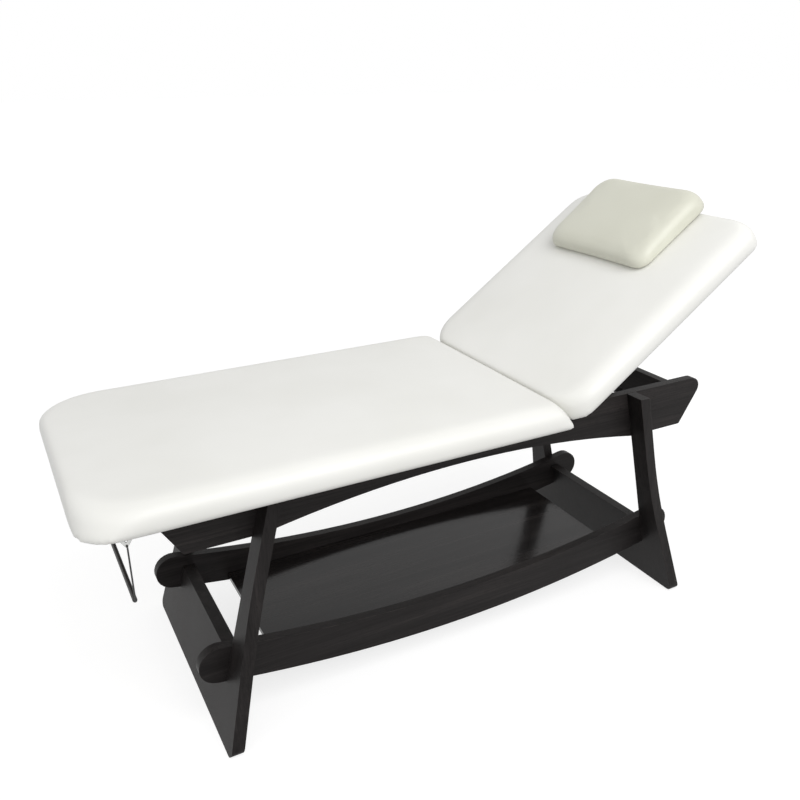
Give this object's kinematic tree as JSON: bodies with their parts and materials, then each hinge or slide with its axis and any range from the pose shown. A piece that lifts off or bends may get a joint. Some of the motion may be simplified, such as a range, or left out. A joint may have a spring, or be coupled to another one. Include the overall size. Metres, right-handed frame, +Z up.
{
  "type": "beauty bed",
  "caption": "Padded treatment bed on a dark wooden trestle, with a lifting backrest, a loose head pillow, a shelf between bowed rails and a hanging paper roll bar.",
  "frame": {"origin": "on the floor, under the middle of the overall length and width, with the back at its pictured angle", "axes": "+X towards the head end, +Y towards the bed's right side, +Z up"},
  "size_m": [1.738, 0.7, 1.1352],
  "materials": {
    "wenge": "stained dark, satin lacquer",
    "vinyl": "white upholstery vinyl over foam, soft sheen",
    "pillow_vinyl": "ivory upholstery vinyl over foam, soft sheen",
    "plywood": "plain plywood",
    "steel": "bright zinc",
    "black_metal": "black powder coat"
  },
  "bodies": {
    "frame": {"foot_end_frame": "wenge", "head_end_frame": "wenge", "upper_rail_left": "wenge", "upper_rail_right": "wenge", "lower_rail_left": "wenge", "lower_rail_right": "wenge", "foot_crossbar": "wenge", "middle_crossbar": "wenge", "head_crossbar": "wenge", "shelf": "wenge", "shelf_cleat_left": "wenge", "shelf_cleat_right": "wenge", "prop_rack_left": "wenge", "prop_rack_right": "wenge", "seat_pad": "vinyl", "seat_board": "plywood", "seat_hinge_leaf_left": "steel", "seat_hinge_leaf_right": "steel", "hinge_pin_left": "steel", "hinge_pin_right": "steel", "frame_bolt_foot_left_top": "steel", "frame_bolt_foot_left_bottom": "steel", "frame_bolt_foot_right_top": "steel", "frame_bolt_foot_right_bottom": "steel", "frame_bolt_head_left_top": "steel", "frame_bolt_head_left_bottom": "steel", "frame_bolt_head_right_top": "steel", "frame_bolt_head_right_bottom": "steel", "cleat_screw_left_foot": "steel", "cleat_screw_left_head": "steel", "cleat_screw_right_foot": "steel", "cleat_screw_right_head": "steel", "seat_screw_foot_left": "steel", "seat_screw_foot_right": "steel", "seat_screw_middle_left": "steel", "seat_screw_middle_right": "steel", "roll_bracket_left": "steel", "roll_bracket_right": "steel"},
    "backrest": {"back_pad": "vinyl", "back_board": "plywood", "back_hinge_leaf_left": "steel", "back_hinge_leaf_right": "steel", "prop_block_left": "wenge", "prop_block_right": "wenge"},
    "prop": {"prop_arm_left": "black_metal", "prop_arm_right": "black_metal", "prop_pivot_rod": "black_metal", "prop_foot_bar": "black_metal"},
    "pillow": {"pillow": "pillow_vinyl"},
    "roll_holder": {"roll_arm_left": "black_metal", "roll_arm_right": "black_metal"},
    "roll_bar": {"roll_tube": "black_metal"}
  },
  "joints": [
    {"name": "backrest_tilt", "type": "hinge", "parent": "frame", "child": "backrest", "pos_m": [0.29999, 0, 0.6249], "axis": [0, -1, 0], "range_deg": [-35.3, 2.7]},
    {"name": "prop_swing", "type": "hinge", "parent": "backrest", "child": "prop", "pos_m": [0.46813, 0, 0.73353], "axis": [0, -1, 0], "range_deg": [-6, 71.5]},
    {"name": "pillow_lift", "type": "slide", "parent": "backrest", "child": "pillow", "axis": [-0.5779, 0, 0.8161], "range_m": [0, 0.12]},
    {"name": "roll_holder_swing", "type": "hinge", "parent": "frame", "child": "roll_holder", "pos_m": [-0.77701, 0, 0.606], "axis": [0, 1, 0], "range_deg": [-45, 80]},
    {"name": "roll_bar_spin", "type": "hinge", "parent": "roll_holder", "child": "roll_bar", "pos_m": [-0.77701, 0, 0.478], "axis": [0, 1, 0], "continuous": true}
  ],
  "couplings": [
    {"joint": "prop_swing", "follows": "backrest_tilt", "ratio": -2}
  ]
}
